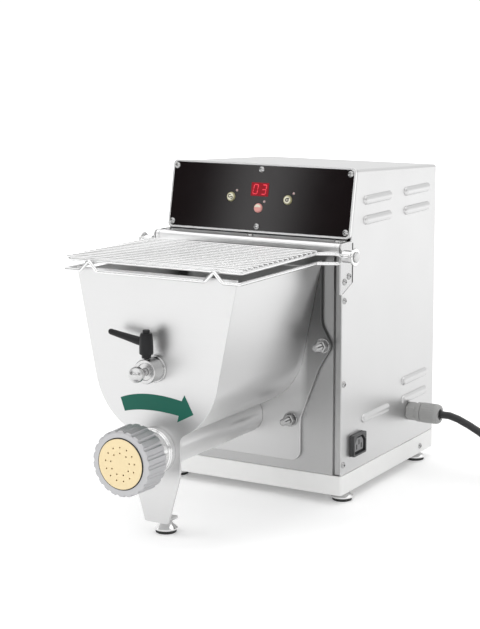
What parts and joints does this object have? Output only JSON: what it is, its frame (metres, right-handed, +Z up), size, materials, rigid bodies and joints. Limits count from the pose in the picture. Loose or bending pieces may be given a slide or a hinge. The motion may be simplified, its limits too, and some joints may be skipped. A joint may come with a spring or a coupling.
{
  "type": "electric pasta maker",
  "caption": "Countertop pasta extruder: steel housing with a control panel, a flared hopper with a wire lid, mixing paddle, auger tube, ribbed ring nut and die, side cable gland and mains cord.",
  "frame": {"origin": "on the table, midway between the sides and between the front of the ring nut and the back panel", "axes": "-Y towards the front (the die), +Z up, +X towards the side with the outlet and the cord"},
  "size_m": [0.5681, 0.5206, 0.38],
  "materials": {
    "satin_steel": "satin stainless sheet",
    "polished_steel": "bright stainless sheet and turned steel",
    "chrome": "polished plating",
    "pale_tray": "pale painted sheet",
    "cast_aluminium": "cast and machined, dull",
    "pale_bronze": "machined bronze, matt",
    "black_plastic": "black, half gloss",
    "black_rubber": "black, matt",
    "black_glass": "glossy black film",
    "grey_plastic": "grey, matt",
    "cream_plastic": "cream, half matt",
    "red_window": "dark red window over a lit display",
    "pink_lamp": "pale pink key cap",
    "gear_steel": "machined, oiled",
    "motor_paint": "dark grey paint",
    "board_green": "green board with black parts"
  },
  "bodies": {
    "machine": {"auger_seal": "black_rubber", "base_tray": "pale_tray", "bearing_plate": "gear_steel", "cable_gland": "grey_plastic", "casing": "satin_steel", "control_board": "board_green", "control_fascia": "polished_steel", "control_overlay": "black_glass", "cord_coil": "black_rubber", "display_window": "red_window", "foot_back_left": "chrome", "foot_back_right": "chrome", "foot_front_left": "chrome", "foot_front_right": "chrome", "foot_leg": "chrome", "front_panel": "satin_steel", "gear_plate": "gear_steel", "gearbox": "cast_aluminium", "hopper_front_plate": "polished_steel", "hopper_rear_plate": "satin_steel", "hopper_trough": "polished_steel", "lid_bracket_left": "satin_steel", "lid_bracket_right": "satin_steel", "lid_switch": "black_plastic", "mains_cord": "black_rubber", "mains_plug": "black_plastic", "mixer_boss": "polished_steel", "mixer_seal": "black_rubber", "motor": "motor_paint", "nozzle": "cast_aluminium", "nut_high_left": "chrome", "nut_high_right": "chrome", "nut_low_left": "chrome", "nut_low_right": "chrome", "outlet_insert": "grey_plastic", "outlet_socket": "black_plastic", "pad_back_left": "black_rubber", "pad_back_right": "black_rubber", "pad_front_left": "black_rubber", "pad_front_right": "black_rubber", "pad_leg": "black_rubber", "plug_pins": "chrome", "rear_panel": "satin_steel", "trim_hood": "polished_steel"},
    "lid": {"wire_lid": "chrome", "lid_lower_rod": "chrome"},
    "mixer": {"mixing_paddle": "polished_steel", "mixer_drive_shaft": "gear_steel", "mixer_gear": "gear_steel"},
    "screw_feed": {"auger": "polished_steel", "auger_drive_shaft": "gear_steel", "auger_gear": "gear_steel"},
    "pinion": {"drive_pinion": "gear_steel"},
    "die_plate": {"die": "pale_bronze"},
    "nut_ring": {"ring_nut": "cast_aluminium"},
    "pin": {"pull_pin": "polished_steel"},
    "lever": {"clamp_lever": "black_plastic"},
    "key_left": {"button_left": "cream_plastic"},
    "key_right": {"button_right": "cream_plastic"},
    "key_centre": {"button_centre": "pink_lamp"}
  },
  "joints": [
    {"name": "mixer_spin", "type": "hinge", "parent": "machine", "child": "mixer", "pos_m": [0, 0, 0.1821], "axis": [0, 1, 0], "continuous": true},
    {"name": "auger_spin", "type": "hinge", "parent": "machine", "child": "screw_feed", "pos_m": [0, 0, 0.0946], "axis": [0, 1, 0], "continuous": true},
    {"name": "drive_spin", "type": "hinge", "parent": "machine", "child": "pinion", "pos_m": [0, 0, 0.2521], "axis": [0, 1, 0], "continuous": true},
    {"name": "lid_hinge", "type": "hinge", "parent": "machine", "child": "lid", "pos_m": [0, -0.00275, 0.286], "axis": [-1, 0, 0], "range_deg": [0, 105]},
    {"name": "die_slide", "type": "slide", "parent": "machine", "child": "die_plate", "axis": [0, -1, 0], "range_m": [0, 0.008]},
    {"name": "ring_unscrew", "type": "hinge", "parent": "die_plate", "child": "nut_ring", "pos_m": [0, 0, 0.0946], "axis": [0, -1, 0], "range_deg": [0, 720]},
    {"name": "pin_pull", "type": "slide", "parent": "machine", "child": "pin", "axis": [0, -1, 0], "range_m": [0, 0.03]},
    {"name": "lever_turn", "type": "hinge", "parent": "machine", "child": "lever", "pos_m": [0, -0.20935, 0.1962], "axis": [0, 0, 1], "range_deg": [0, 170]},
    {"name": "key_left_press", "type": "slide", "parent": "machine", "child": "key_left", "axis": [0, 0.9813, -0.1925], "range_m": [0, 0.0008], "stiffness_N_per_m": 800},
    {"name": "key_right_press", "type": "slide", "parent": "machine", "child": "key_right", "axis": [0, 0.9813, -0.1925], "range_m": [0, 0.0008], "stiffness_N_per_m": 800},
    {"name": "key_centre_press", "type": "slide", "parent": "machine", "child": "key_centre", "axis": [0, 0.9813, -0.1925], "range_m": [0, 0.0008], "stiffness_N_per_m": 800}
  ],
  "couplings": [
    {"joint": "auger_spin", "follows": "mixer_spin", "ratio": -1.5},
    {"joint": "drive_spin", "follows": "mixer_spin", "ratio": -3},
    {"joint": "die_slide", "follows": "ring_unscrew", "m_per_rad": 0.0006366}
  ]
}
